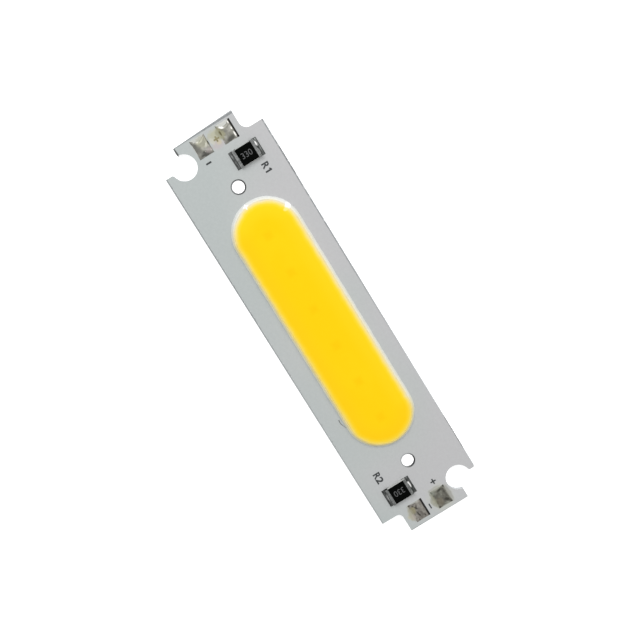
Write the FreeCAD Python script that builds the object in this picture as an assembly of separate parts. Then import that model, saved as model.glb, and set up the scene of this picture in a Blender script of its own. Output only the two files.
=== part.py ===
import FreeCAD, Part
import math
import os

from FreeCAD import Vector

# Chip-on-board LED strip module, in millimetres.
# The origin is the middle of the board's back face. +X runs along the board to the end with resistor R2,
# +Y points to the long edge with the positive rail, and +Z points out of the lit face.
# Apart from the hand-laid dam, one wire pad and how its edges were cut, the board matches itself after half a
# turn about Z, with plus and minus changing places, so most pieces are drawn at the R1 end and turned for the
# R2 end. The artwork, which is the copper, the mask's openings and the drilled holes, sits a little off the
# middle of the outline that was scored round it.

# Board outline
board_length = 61.5
board_width = 15.0
tab_length = 3.03
tab_width = 9.1
lip_setback = 0.22
left_notch_radius = 1.15
right_notch_radius = 0.7
relief_radius = 1.75
relief_inset = 0.12
relief_rise = 0.13
relief_lip_radius = 0.35
right_nose_radius = 0.35
hole_radius = 0.85
hole_spacing = 43.6
artwork_shift_y = 0.1

# Scored and snapped edges
score_depth = 0.25
score_reach = 0.12
left_score_reach = 0.2
snap_skew = 0.35
snap_short = 0.15
lip_round_share = 0.45

# Layers, from the back up
base_thickness = 0.87
dielectric_thickness = 0.08
copper_thickness = 0.035
mask_cover = 0.02
mask_hole_pullback = 0.15

# Copper layout
copper_edge_clearance = 0.5
copper_gap = 0.3
rail_width = 1.4
neck_width = 0.7
return_width = 1.2
link_width = 0.9
pad_margin = 0.12

# Wire pads: the one beside the square notch and the one beside the round relief
pad_length = 2.75
pad_width = 2.15
pad_end_inset = 0.68
left_pad_notch_clearance = 0.9
right_pad_notch_clearance = 1.17
pad_relief_clearance = 0.55
pad_solder_height = 0.22
pad_crown_share = 0.55
pad_waist_share = 0.45

# Chip resistor and its solder
resistor_edge_distance = 4.26
resistor_length = 3.2
resistor_width = 2.5
resistor_height = 0.55
cap_thickness = 0.04
cap_band = 0.4
film_thickness = 0.012
film_side_margin = 0.25
overcoat_thickness = 0.05
overcoat_side_margin = 0.04
overcoat_edge_radius = 0.03
solder_gap = 0.03
solder_inner_reach = 0.6
fillet_length = 0.5
fillet_height = 0.4
fillet_toe = 0.03
fillet_hollow_share = 0.3
resistor_pad_width = 2.6
resistor_pad_clip = 0.2

# Light-emitting field: the dam is laid by hand, a little off the artwork's middle
dam_length = 38.25
dam_width = 9.7
dam_shift_x = -0.4
dam_shift_y = 0.13
bead_width = 0.85
bead_height = 0.5
bead_crown_radius = 0.3
gel_rim_inset = 0.05
gel_rim_step = 0.04
gel_crown = 0.16
window_margin = 0.45

# Dies, the film under them and their wires
dies_per_string = 3
end_die_inset = 3.0
die_length = 0.8
die_width = 0.6
die_height = 0.15
attach_thickness = 0.02
attach_margin = 0.04
island_gap_offset = 0.95
island_edge_margin = 0.5
wire_diameter = 0.03
ball_radius = 0.04
ball_height = 0.025
wire_pad_inset = 0.12
wire_rise = 0.09
wire_landing = 0.35
wire_shoulder_share = 0.33

# Heights and half sizes that follow
half_length = board_length / 2
half_width = board_width / 2
body_end = half_length - tab_length
tab_side = tab_width / 2
lip_end = body_end - lip_setback
relief_x = body_end - relief_inset
relief_y = tab_side + relief_rise
lip_width = half_width - relief_y - relief_radius - abs(artwork_shift_y)
dielectric_top = base_thickness + dielectric_thickness
copper_top = dielectric_top + copper_thickness
board_top = copper_top + mask_cover

# How far a cutting body reaches past what it cuts, and how near two places count as one
cut_margin = 1.0
same_place = 0.01


def box(x0, x1, y0, y1, z0, z1):
    return Part.makeBox(x1 - x0, y1 - y0, z1 - z0, Vector(x0, y0, z0))


def disc(x, y, radius, z0, z1):
    return Part.makeCylinder(radius, z1 - z0, Vector(x, y, z0))


def prism(corners, z0, z1):
    """An upright prism over a closed outline of (x, y) corners."""
    points = [Vector(x, y, z0) for x, y in corners]
    face = Part.Face(Part.makePolygon(points + points[:1]))
    return face.extrude(Vector(0, 0, z1 - z0))


def clipped_plate(x0, x1, y0, y1, clip, z0, z1):
    """A plate with its four upright corners cut off at 45 degrees."""
    corners = [
        (x0 + clip, y0),
        (x1 - clip, y0),
        (x1, y0 + clip),
        (x1, y1 - clip),
        (x1 - clip, y1),
        (x0 + clip, y1),
        (x0, y1 - clip),
        (x0, y0 + clip),
    ]
    return prism(corners, z0, z1)


def six_sided(x, y, radius, z0, z1):
    """An upright six-sided bar, for round things too thin to be worth more faces."""
    turns = [math.pi / 3 * i for i in range(6)]
    return prism([(x + radius * math.cos(t), y + radius * math.sin(t)) for t in turns], z0, z1)


def half_turned(shape):
    """The same piece at the other end of the board."""
    turned = shape.copy()
    turned.rotate(Vector(0, 0, 0), Vector(0, 0, 1), 180)
    return turned


def placed(shape):
    """A piece of the artwork, or one that stands on it, moved to where the artwork lies on the board."""
    moved = shape.copy()
    moved.translate(Vector(0, artwork_shift_y, 0))
    return moved


def joined(shapes):
    return shapes[0].multiFuse(shapes[1:]).removeSplitter()


# Board outline and scored edges


def left_tab(z0, z1):
    """The tab at the R1 end, whose end face was snapped a little short and askew."""
    end = -half_length + snap_short
    skew = snap_skew / 2
    return prism(
        [
            (-body_end, -tab_side),
            (end + skew, -tab_side),
            (end - skew, tab_side),
            (-body_end, tab_side),
        ],
        z0,
        z1,
    )


def notch_corner(r, z0, z1):
    """The inner corner of the square notch at the R1 end, rounded by a radius."""
    corner = box(-body_end - r, -body_end, tab_side, tab_side + r, z0, z1)
    return corner.cut(disc(-body_end - r, tab_side + r, r, z0, z1))


def rounded_at(shape, x, y, radius):
    """Round the upright edge that stands at x, y, with no more than fits beside the relief."""
    radius = min(radius, lip_width * lip_round_share)
    edges = [
        e
        for e in shape.Edges
        if abs(e.tangentAt(e.FirstParameter).z) > 0.5
        and math.hypot(e.CenterOfMass.x - x, e.CenterOfMass.y - y) < same_place
    ]
    return shape.makeFillet(radius, edges)


def board_plate(z0, z1, hole_pullback=0.0):
    """One layer of the board between two heights, with its reliefs and holes."""
    plate = joined(
        [
            box(-body_end, body_end, -half_width, half_width, z0, z1),
            left_tab(z0, z1),
            box(body_end, half_length, -tab_side, tab_side, z0, z1),
            notch_corner(left_notch_radius, z0, z1),
            half_turned(notch_corner(right_notch_radius, z0, z1)),
        ]
    )
    beyond_lip = box(lip_end, body_end + cut_margin, tab_side, half_width + cut_margin, z0, z1)
    plate = plate.cut([beyond_lip, half_turned(beyond_lip)])
    for side in (-1, 1):
        plate = plate.cut(placed(disc(side * relief_x, side * relief_y, relief_radius, z0, z1)))
    lip_y = relief_y + math.sqrt(relief_radius**2 - (relief_x - lip_end) ** 2)
    for side in (-1, 1):
        plate = rounded_at(plate, side * lip_end, side * lip_y + artwork_shift_y, relief_lip_radius)
    plate = rounded_at(plate, lip_end, half_width, right_nose_radius)
    for side in (-1, 1):
        hole = disc(side * hole_spacing / 2, 0, hole_radius + hole_pullback, z0, z1)
        plate = plate.cut(placed(hole))
    return plate


def score_cutter(start, end, outward, reach, z_face, z_in):
    """The wedge that one pass of the scoring blade takes along an edge.

    outward points off the board, z_face is the face it cuts and z_in is +1 or -1 towards the board's middle.
    """
    steep = score_depth / reach
    over = cut_margin
    profile = [
        (-reach - over, z_face - z_in * over * steep),
        (0.0, z_face + z_in * score_depth),
        (over, z_face + z_in * score_depth),
        (over, z_face - z_in * over * steep),
    ]
    corners = [start + outward * out + Vector(0, 0, z) for out, z in profile]
    return Part.Face(Part.makePolygon(corners + corners[:1])).extrude(end - start)


def scored(layer):
    """Take the blade's wedges off a layer's straight outer edges, from the lit face and from the back."""
    far = half_length + cut_margin
    along_x = Vector(far, 0, 0)
    along_y = Vector(0, far, 0)
    edges = [
        (Vector(0, half_width, 0), along_x, Vector(0, 1, 0), score_reach),
        (Vector(0, -half_width, 0), along_x, Vector(0, -1, 0), score_reach),
        (Vector(half_length, 0, 0), along_y, Vector(1, 0, 0), score_reach),
        (Vector(-half_length + snap_short, 0, 0), along_y, Vector(-1, 0, 0), left_score_reach),
    ]
    for middle, along, outward, reach in edges:
        for z_face, z_in in ((board_top, -1), (0.0, 1)):
            wedge = score_cutter(middle - along, middle + along, outward, reach, z_face, z_in)
            layer = layer.cut(wedge)
    return layer


# Places in the artwork that copper, mask and solder share, at the R1 end

pad_x0 = -half_length + pad_end_inset
pad_x1 = pad_x0 + pad_length
pad_reach = pad_width / 2 + pad_margin
left_notch_pad_y = tab_side - left_pad_notch_clearance - pad_width / 2
right_notch_pad_y = tab_side - right_pad_notch_clearance - pad_width / 2
relief_pad_y = -(relief_y - relief_radius - pad_relief_clearance - pad_width / 2)
neck_x0 = -body_end + copper_edge_clearance
neck_x1 = neck_x0 + neck_width
resistor_x = neck_x1 + copper_gap + resistor_pad_width / 2
resistor_y = half_width - resistor_edge_distance
return_x0 = -relief_x + relief_radius + copper_edge_clearance
return_x1 = return_x0 + return_width
rail_y1 = half_width - copper_edge_clearance
rail_y0 = rail_y1 - rail_width
link_y0 = hole_radius + copper_edge_clearance
link_y1 = link_y0 + link_width
resistor_pad_far = resistor_length / 2 + fillet_length
resistor_pad_near = resistor_length / 2 - solder_inner_reach

# The field under the gel, worked out from the dam
crest_length = dam_length - bead_width
crest_width = dam_width - bead_width
window_x = crest_length / 2 - bead_width / 2 - abs(dam_shift_x) - window_margin
window_y = crest_width / 2 - bead_width / 2 - abs(dam_shift_y)
island_y = window_y - island_edge_margin
die_pitch = 2 * (window_x - end_die_inset) / (2 * dies_per_string - 1)


def die_x(number):
    """Middle of a die, counted from 0 at the R1 end."""
    return (number - dies_per_string + 0.5) * die_pitch


def pad_opening(y_middle):
    """What the mask leaves bare of a wire pad at the R1 end."""
    half = pad_width / 2
    return box(pad_x0, pad_x1, y_middle - half, y_middle + half, dielectric_top, board_top)


def resistor_pad(side, z0, z1):
    """A resistor pad of R1: side is 1 towards the board's long edge and -1 towards its middle."""
    near = resistor_y + side * resistor_pad_near
    far = resistor_y + side * resistor_pad_far
    half = resistor_pad_width / 2
    return clipped_plate(
        resistor_x - half,
        resistor_x + half,
        min(near, far),
        max(near, far),
        resistor_pad_clip,
        z0,
        z1,
    )


# Copper


def strip(x0, x1, y0, y1):
    return box(x0, x1, y0, y1, dielectric_top, copper_top)


def rail(notch_pad_y):
    """The rail along the +Y edge, with its wire pads, R1's outer pad and the finger under the fourth die."""
    middle = copper_gap / 2
    finger_end = die_x(dies_per_string) + island_gap_offset - middle
    return joined(
        [
            strip(neck_x0, -return_x0, rail_y0, rail_y1),
            strip(neck_x0, neck_x1, notch_pad_y, rail_y1),
            strip(pad_x0 - pad_margin, neck_x1, notch_pad_y - pad_reach, notch_pad_y + pad_reach),
            resistor_pad(1, dielectric_top, copper_top),
            strip(resistor_x - neck_width, resistor_x + neck_width, resistor_y + resistor_pad_near, rail_y1),
            strip(-return_x1, -return_x0, -relief_pad_y, rail_y1),
            strip(-return_x1, -pad_x0 + pad_margin, -relief_pad_y - pad_reach, -relief_pad_y + pad_reach),
            strip(middle, finger_end, -island_y, rail_y1),
        ]
    )


def link_strip():
    """From R1's inner pad past the screw hole to the landing of the first die's wire."""
    pad_y = resistor_y - resistor_pad_near
    riser_y0 = min(link_y0, pad_y - pad_margin)
    riser_y1 = max(link_y1, pad_y)
    landing_end = die_x(0) - island_gap_offset - copper_gap / 2
    return joined(
        [
            resistor_pad(-1, dielectric_top, copper_top),
            strip(resistor_x, resistor_x + resistor_pad_width / 2, riser_y0, riser_y1),
            strip(resistor_x, landing_end, link_y0, link_y1),
            strip(-window_x, landing_end, -island_y, island_y),
        ]
    )


def string_island(number):
    """The island that carries a die and the landing of the next die's wire."""
    middle = copper_gap / 2
    x0 = die_x(number) - island_gap_offset + middle
    x1 = die_x(number + 1) - island_gap_offset - middle
    return strip(x0, x1, -island_y, island_y)


r1_link_copper = link_strip()
left_islands = [string_island(i) for i in range(dies_per_string - 1)]

copper = {
    "positive_copper": placed(rail(left_notch_pad_y)),
    "negative_copper": placed(half_turned(rail(right_notch_pad_y))),
    "r1_link_copper": placed(r1_link_copper),
    "r2_link_copper": placed(half_turned(r1_link_copper)),
}
for i, island in enumerate(left_islands):
    copper[f"string_copper_{i + 1}"] = placed(island)
for i, island in enumerate(reversed(left_islands)):
    copper[f"string_copper_{len(left_islands) + i + 1}"] = placed(half_turned(island))


# Solder mask


def stadium(length, width, x, y, z0, z1):
    """An upright plate with round ends."""
    reach = (length - width) / 2
    return joined(
        [
            box(x - reach, x + reach, y - width / 2, y + width / 2, z0, z1),
            disc(x - reach, y, width / 2, z0, z1),
            disc(x + reach, y, width / 2, z0, z1),
        ]
    )


def mask_openings(notch_pad_y):
    """What the mask leaves bare at the R1 end: two wire pads and two resistor pads."""
    return [
        pad_opening(notch_pad_y),
        pad_opening(relief_pad_y),
        resistor_pad(1, dielectric_top, board_top),
        resistor_pad(-1, dielectric_top, board_top),
    ]


def white_solder_mask():
    mask = scored(board_plate(dielectric_top, board_top, mask_hole_pullback))
    openings = mask_openings(left_notch_pad_y)
    openings += [half_turned(opening) for opening in mask_openings(right_notch_pad_y)]
    openings.append(stadium(2 * window_x, 2 * window_y, 0, 0, dielectric_top, board_top))
    return mask.cut(list(copper.values()) + [placed(opening) for opening in openings])


# Dam and gel


def bead_profile():
    """The dam's cross-section in the YZ plane, standing on the mask with its middle at y = 0.

    Two straight flanks run up from the mask and touch the round crown.
    """
    centre_height = bead_height - bead_crown_radius
    to_centre = math.hypot(bead_width / 2, centre_height)
    lean = math.asin(bead_crown_radius / to_centre) + math.atan2(centre_height, bead_width / 2)
    touch_y = bead_crown_radius * math.sin(lean)
    touch_z = board_top + centre_height + bead_crown_radius * math.cos(lean)
    feet = [Vector(0, side * bead_width / 2, board_top) for side in (-1, 1)]
    shoulders = [Vector(0, side * touch_y, touch_z) for side in (-1, 1)]
    edges = [
        Part.LineSegment(feet[0], shoulders[0]).toShape(),
        Part.Arc(shoulders[0], Vector(0, 0, board_top + bead_height), shoulders[1]).toShape(),
        Part.LineSegment(shoulders[1], feet[1]).toShape(),
        Part.LineSegment(feet[1], feet[0]).toShape(),
    ]
    return Part.Face(Part.Wire(edges))


def round_ended(profile, reach):
    """Sweep a profile of the YZ plane along a field's two sides and round both ends.

    The profile stands at y > 0 where the +Y side passes x = 0, or reaches from y = 0 for a filled field.
    """
    side = profile.copy()
    side.translate(Vector(-reach, 0, 0))
    upper = side.extrude(Vector(2 * reach, 0, 0))
    lower = half_turned(upper)
    left_end = side.revolve(Vector(-reach, 0, 0), Vector(0, 0, 1), 180)
    right_end = half_turned(left_end)
    return joined([upper, lower, left_end, right_end])


def silicone_dam():
    profile = bead_profile()
    profile.translate(Vector(0, crest_width / 2, 0))
    dam = round_ended(profile, (crest_length - crest_width) / 2)
    dam.translate(Vector(dam_shift_x, dam_shift_y, 0))
    return placed(dam)


def gel_profile():
    """Half the gel's cross-section, from its middle out to its rim on the dam's crest."""
    rim_y = crest_width / 2 - gel_rim_inset
    rim_z = board_top + bead_height + gel_rim_step
    top_z = rim_z + gel_crown
    radius = (rim_y**2 + gel_crown**2) / (2 * gel_crown)
    half_angle = math.asin(rim_y / 2 / radius)
    quarter = Vector(0, radius * math.sin(half_angle), top_z - radius * (1 - math.cos(half_angle)))
    middle_foot = Vector(0, 0, dielectric_top)
    middle_top = Vector(0, 0, top_z)
    rim_top = Vector(0, rim_y, rim_z)
    rim_foot = Vector(0, rim_y, dielectric_top)
    edges = [
        Part.Arc(middle_top, quarter, rim_top).toShape(),
        Part.LineSegment(rim_top, rim_foot).toShape(),
        Part.LineSegment(rim_foot, middle_foot).toShape(),
        Part.LineSegment(middle_foot, middle_top).toShape(),
    ]
    return Part.Face(Part.Wire(edges))


def phosphor_gel(dam, mask, inner_pieces):
    """The gel fills the dam, down through the mask's window and round everything in it."""
    gel = round_ended(gel_profile(), (crest_length - crest_width) / 2)
    gel.translate(Vector(dam_shift_x, dam_shift_y, 0))
    return placed(gel).cut([dam, mask] + inner_pieces)


# Dies and wires


def die_attach(x):
    length = die_length / 2 + attach_margin
    width = die_width / 2 + attach_margin
    return box(x - length, x + length, -width, width, copper_top, copper_top + attach_thickness)


def led_die(x):
    foot = copper_top + attach_thickness
    return box(x - die_length / 2, x + die_length / 2, -die_width / 2, die_width / 2, foot, foot + die_height)


def bond_wire(x_ball, x_landing):
    """A ball on the die, a short rise, and a run down to the copper, where the wire ends flat on it."""
    die_top = copper_top + attach_thickness + die_height
    ball_top = die_top + ball_height
    loop_top = ball_top + wire_rise
    ball = six_sided(x_ball, 0, ball_radius, die_top, ball_top)
    shoulder_x = x_ball + (x_landing - x_ball) * wire_shoulder_share
    sink = wire_diameter
    run = x_landing - shoulder_x
    below = Vector(x_landing + run * sink / (loop_top - copper_top), 0, copper_top - sink)
    path = Part.makePolygon(
        [Vector(x_ball, 0, ball_top), Vector(x_ball, 0, loop_top), Vector(shoulder_x, 0, loop_top), below]
    )
    section = six_sided(x_ball, 0, wire_diameter / 2, ball_top, loop_top).Wires
    section = min(section, key=lambda outline: outline.CenterOfMass.z)
    pipe = Part.BRepOffsetAPI.MakePipeShell(path)
    pipe.setTransitionMode(1)
    pipe.add(section)
    pipe.build()
    pipe.makeSolid()
    far = abs(x_landing - x_ball) + cut_margin
    under = box(x_ball - far, x_ball + far, -far, far, copper_top - cut_margin, copper_top)
    return joined([pipe.shape().cut(under), ball])


def left_string():
    """Dies, films and wires of the string at the R1 end."""
    dies, films, wires = [], [], []
    for number in range(dies_per_string):
        x = die_x(number)
        pad = die_length / 2 - wire_pad_inset
        gap_edge = island_gap_offset + copper_gap / 2
        dies.append(led_die(x))
        films.append(die_attach(x))
        wires.append(bond_wire(x - pad, x - gap_edge - wire_landing))
        wires.append(bond_wire(x + pad, x + gap_edge))
    return dies, films, wires


# Chip resistors


def resistor_pieces():
    """R1's pieces by name, lying along Y at its place on the board."""
    foot = copper_top + solder_gap
    top = foot + resistor_height
    half_w = resistor_width / 2
    half_l = resistor_length / 2
    core_l = half_l - cap_thickness
    open_l = half_l - cap_band
    x = resistor_x
    y = resistor_y
    block = box(x - half_w, x + half_w, y - core_l, y + core_l, foot + cap_thickness, top - cap_thickness)
    block_top = top - cap_thickness
    film_w = half_w - film_side_margin
    film = box(x - film_w, x + film_w, y - open_l, y + open_l, block_top, block_top + film_thickness)
    coat_w = half_w - overcoat_side_margin
    coat_top = block_top + overcoat_thickness
    coat = box(x - coat_w, x + coat_w, y - open_l, y + open_l, block_top, coat_top)
    rim = [e for e in coat.Edges if e.CenterOfMass.z > (block_top + coat_top) / 2 + same_place]
    coat = coat.makeFillet(overcoat_edge_radius, rim).cut(film)
    pieces = {"ceramic_body": block, "resistive_film": film, "overcoat": coat}
    for side, name in ((1, "outer"), (-1, "inner")):
        near = y + side * open_l
        far = y + side * half_l
        cap = box(x - half_w, x + half_w, min(near, far), max(near, far), foot, top).cut(block)
        pieces[f"end_cap_{name}"] = cap
        pieces[f"solder_{name}"] = resistor_solder(side)
    return pieces


def resistor_solder(side):
    """The solder under one end of R1 and its hollow fillet up the end cap."""
    half_l = resistor_length / 2
    foot = copper_top + solder_gap
    toe = Vector(0, resistor_pad_far, copper_top + fillet_toe)
    head = Vector(0, half_l, foot + fillet_height)
    share = fillet_hollow_share
    hollow = Vector(0, half_l + fillet_length * share, foot + fillet_height * share)
    corners = [
        head,
        Vector(0, half_l, foot),
        Vector(0, resistor_pad_near, foot),
        Vector(0, resistor_pad_near, copper_top),
        Vector(0, resistor_pad_far, copper_top),
        toe,
    ]
    edges = [Part.LineSegment(a, b).toShape() for a, b in zip(corners, corners[1:])]
    edges.append(Part.Arc(toe, hollow, head).toShape())
    solid = Part.Face(Part.Wire(edges)).extrude(Vector(resistor_pad_width, 0, 0))
    solid.translate(Vector(resistor_x - resistor_pad_width / 2, 0, 0))
    if side < 0:
        solid = solid.mirror(Vector(0, 0, 0), Vector(0, 1, 0))
    solid.translate(Vector(0, resistor_y, 0))
    plan = resistor_pad(side, copper_top, foot + resistor_height)
    return solid.common(plan)


# Wire pads


def star_corners(x, y, half_x, half_y, waist, z):
    """Eight corners of an outline: four corners drawn out, and the middle of each side pulled in by waist."""
    corners = []
    for sx, sy in ((1, 1), (-1, 1), (-1, -1), (1, -1)):
        corners.append(Vector(x + sx * half_x, y + sy * half_y, z))
        side_x = 0 if sx == sy else sx * half_x * (1 - waist)
        side_y = 0 if sx != sy else sy * half_y * (1 - waist)
        corners.append(Vector(x + side_x, y + side_y, z))
    return corners


def flat_face(*corners):
    return Part.Face(Part.makePolygon(list(corners) + [corners[0]]))


def pad_solder(y):
    """A tinned lump that fills its mask opening, creased from its four corners up to a star-shaped top."""
    x = (pad_x0 + pad_x1) / 2
    half_x = pad_length / 2
    half_y = pad_width / 2
    foot = star_corners(x, y, half_x, half_y, 0.0, copper_top)
    rim = star_corners(x, y, half_x, half_y, 0.0, board_top)
    crown_x = half_x * pad_crown_share
    crown_y = half_y * pad_crown_share
    crown = star_corners(x, y, crown_x, crown_y, pad_waist_share, copper_top + pad_solder_height)
    faces = [flat_face(*foot), flat_face(*crown)]
    for i in range(8):
        j = (i + 1) % 8
        faces.append(flat_face(foot[i], foot[j], rim[j], rim[i]))
        faces.append(flat_face(rim[i], rim[j], crown[j]))
        faces.append(flat_face(rim[i], crown[j], crown[i]))
    return Part.makeSolid(Part.makeShell(faces)).removeSplitter()


def build():
    """Every piece of the module by name."""
    pieces = {
        "aluminium_base": scored(board_plate(0, base_thickness)),
        "dielectric_layer": scored(board_plate(base_thickness, dielectric_top)),
        "white_solder_mask": white_solder_mask(),
        "silicone_dam": silicone_dam(),
    }
    pieces.update(copper)
    dies, films, wires = left_string()
    inner = {}
    for kind, left in (("led_die", dies), ("die_attach", films), ("bond_wire", wires)):
        both = left + [half_turned(piece) for piece in reversed(left)]
        for i, piece in enumerate(both):
            inner[f"{kind}_{i + 1}"] = placed(piece)
    buried = list(copper.values()) + list(inner.values())
    pieces["phosphor_gel"] = phosphor_gel(pieces["silicone_dam"], pieces["white_solder_mask"], buried)
    pieces.update(inner)
    for name, piece in resistor_pieces().items():
        pieces[f"r1_{name}"] = placed(piece)
        pieces[f"r2_{name}"] = placed(half_turned(piece))
    relief_lump = pad_solder(relief_pad_y)
    lumps = [pad_solder(left_notch_pad_y), relief_lump]
    lumps += [half_turned(pad_solder(right_notch_pad_y)), half_turned(relief_lump)]
    for i, lump in enumerate(lumps):
        pieces[f"wire_pad_solder_{i + 1}"] = placed(lump)
    return pieces


os.makedirs("parts", exist_ok=True)
for name, shape in build().items():
    if not shape.isValid() or len(shape.Solids) != 1:
        print(f"{name}: valid {shape.isValid()}, {len(shape.Solids)} solids")
    shape.Solids[0].exportStep(f"parts/{name}.step")
print("pieces written:", len(os.listdir("parts")))
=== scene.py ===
# %% [markdown]
# A chip-on-board LED strip module, 61.5 mm long: an aluminium circuit board with a white lacquer on it, a
# field of yellow phosphor gel inside a white silicone dam, two black chip resistors and four tinned wire
# pads. The board, its layers and everything under the gel arrive as finished solids. This file dresses them:
# it gives every solid a finish, and it makes the soft and molten things, such as gel, silicone and solder, by
# hand.

# %% The frame and the units
import math

import bmesh
import bpy
from mathutils import Matrix, Vector, noise


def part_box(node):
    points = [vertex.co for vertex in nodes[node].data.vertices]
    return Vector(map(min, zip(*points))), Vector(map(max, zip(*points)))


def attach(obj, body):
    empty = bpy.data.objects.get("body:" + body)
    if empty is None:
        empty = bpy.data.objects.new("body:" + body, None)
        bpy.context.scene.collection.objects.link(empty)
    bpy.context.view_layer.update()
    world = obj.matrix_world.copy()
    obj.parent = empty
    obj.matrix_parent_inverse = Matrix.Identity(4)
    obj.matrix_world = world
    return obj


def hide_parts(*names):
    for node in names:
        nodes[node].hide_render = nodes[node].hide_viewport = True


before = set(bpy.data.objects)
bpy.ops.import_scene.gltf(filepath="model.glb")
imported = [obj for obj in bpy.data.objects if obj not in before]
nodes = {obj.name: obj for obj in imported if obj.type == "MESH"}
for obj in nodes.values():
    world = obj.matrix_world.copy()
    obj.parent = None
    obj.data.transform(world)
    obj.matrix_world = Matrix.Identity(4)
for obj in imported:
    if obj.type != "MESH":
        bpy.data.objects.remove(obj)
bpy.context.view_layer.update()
MM = 0.001


def solid_box(node):
    """A solid's lowest and highest corner in millimetres."""
    return [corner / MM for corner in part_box(node)]


board_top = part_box("white_solder_mask")[1].z / MM
copper_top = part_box("positive_copper")[1].z / MM
print(f"{len(nodes)} solids, lacquer at {board_top:.3f} mm, copper at {copper_top:.3f} mm")

# %% [markdown]
# The camera looks almost straight down, from a little over the R1 end, so that the board lies across the
# picture from the upper left to the lower right. It is placed by where it stands, what it looks at, and which
# direction of the board points up in the picture. That is easier to read and to correct than three angles.

# %% The camera
camera_place = Vector((-30.24, 4.72, 172.07)) * MM
camera_aim = Vector((-1.10, 0.01, 1.0)) * MM
picture_up = Vector((-0.8378, 0.5229, -0.1571))


def looking(place, aim, up):
    """The matrix of something that stands at place and looks at aim."""
    forward = (aim - place).normalized()
    right = forward.cross(up).normalized()
    turn = Matrix((right, right.cross(forward), -forward)).transposed()
    return Matrix.Translation(place) @ turn.to_4x4()


def into_scene(name, data):
    """An object of the scene, at the world's origin, that holds a mesh, a lamp or a camera."""
    piece = bpy.data.objects.new(name, data)
    bpy.context.scene.collection.objects.link(piece)
    return piece


camera_data = bpy.data.cameras.new("camera")
camera_data.lens = 73.125
camera_data.sensor_width = 36.0
camera_data.clip_start = 10 * MM
camera = into_scene("camera", camera_data)
camera.matrix_world = looking(camera_place, camera_aim, picture_up)
bpy.context.scene.camera = camera
print("camera", round((camera_place - camera_aim).length / MM, 1), "mm from the board")

# %% [markdown]
# Every finish below is built from nodes, so one small function adds a node: its own settings, and for each
# input either a value or what feeds it. A number that a node gives out is a Signal, and arithmetic on Signals
# adds the math nodes, so that a pattern reads as a formula. Colours are written as they look on a screen, in
# hex, and one function turns them into the linear values that the renderer works in. Pattern sizes are in
# millimetres.

# %% Helpers for node trees, colours and pattern sizes
soft_rim = (1.3, 0.6)


def feed(socket, value):
    """Set an input to a value or a hex colour, or link it to a Signal, an output or a node's first output."""
    if isinstance(value, Signal):
        value = value.socket
    if isinstance(value, bpy.types.Node):
        value = value.outputs[0]
    if isinstance(value, bpy.types.NodeSocket):
        socket.id_data.links.new(value, socket)
    else:
        socket.default_value = linear(value) if isinstance(value, str) else value


def add(tree, kind, inputs=None, **settings):
    """Add a node with its settings, and feed its inputs."""
    node = tree.nodes.new(kind)
    for name, value in settings.items():
        setattr(node, name, value)
    for name, value in (inputs or {}).items():
        feed(node.inputs[name], value)
    return node


def step(operation, turned=False):
    """One step of arithmetic as a method of Signal, turned round if the Signal comes second."""

    def method(signal, other=0.0):
        sides = (other, signal) if turned else (signal, other)
        node = add(signal.tree, "ShaderNodeMath", dict(enumerate(sides)), operation=operation)
        return Signal(node.outputs["Value"])

    return method


class Signal:
    """A number that a node gives out, for use in formulas."""

    def __init__(self, socket):
        self.socket = socket
        self.tree = socket.id_data

    __add__ = step("ADD")
    __sub__ = step("SUBTRACT")
    __rsub__ = step("SUBTRACT", turned=True)
    __mul__ = step("MULTIPLY")
    __truediv__ = step("DIVIDE")
    __rtruediv__ = step("DIVIDE", turned=True)
    __mod__ = step("MODULO")
    __pow__ = step("POWER")
    __abs__ = step("ABSOLUTE")
    sign = step("SIGN")
    at_least = step("MAXIMUM")
    at_most = step("MINIMUM")


def linear(hex_colour):
    """A colour such as "#bfc4c4" as linear red, green, blue and alpha."""
    parts = [int(hex_colour[i : i + 2], 16) / 255 for i in (1, 3, 5)]
    parts = [p / 12.92 if p <= 0.04045 else ((p + 0.055) / 1.055) ** 2.4 for p in parts]
    return (*parts, 1.0)


def new_finish(name, colour, roughness, metallic=0.0, specular=0.5):
    """A material with its shader's constant values set, and its tree and shader for the pattern to come."""
    material = bpy.data.materials.new(name)
    material.use_nodes = True
    tree = material.node_tree
    shader = tree.nodes["Principled BSDF"]
    constants = {"Base Color": colour, "Roughness": roughness, "Metallic": metallic}
    constants["Specular IOR Level"] = specular
    for socket, value in constants.items():
        feed(shader.inputs[socket], value)
    return material, tree, shader


def cloud(tree, size, detail=2.0, stretch=(1, 1, 1)):
    """Noise of a feature size in millimetres on the piece's own coordinates."""
    place = add(tree, "ShaderNodeTexCoord").outputs["Object"]
    shape = add(tree, "ShaderNodeMapping", {"Vector": place, "Scale": stretch})
    grain = {"Vector": shape, "Scale": 1 / (size * MM), "Detail": detail}
    return Signal(add(tree, "ShaderNodeTexNoise", grain).outputs["Fac"])


def ramp(signal, *stops):
    """Colours along a signal: each stop is a place from 0 to 1 and a hex colour."""
    node = add(signal.tree, "ShaderNodeValToRGB", {"Fac": signal})
    elements = node.color_ramp.elements
    while len(elements) < len(stops):
        elements.new(0.5)
    for element, (place, colour) in zip(elements, stops):
        element.position = place
        element.color = linear(colour)
    return node


def rise(signal, low, high):
    """0 below low, 1 above high and a smooth rise between. With high below low it falls instead."""
    band = {"Value": signal, "From Min": low, "From Max": high}
    node = add(signal.tree, "ShaderNodeMapRange", band, interpolation_type="SMOOTHSTEP")
    return Signal(node.outputs["Result"])


def blended(signal, a, b):
    """Colour a where a signal is 0 and b where it is 1. Either can be a hex colour or a node's."""
    return add(signal.tree, "ShaderNodeMix", {0: signal, 6: a, 7: b}, data_type="RGBA").outputs[2]


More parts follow.
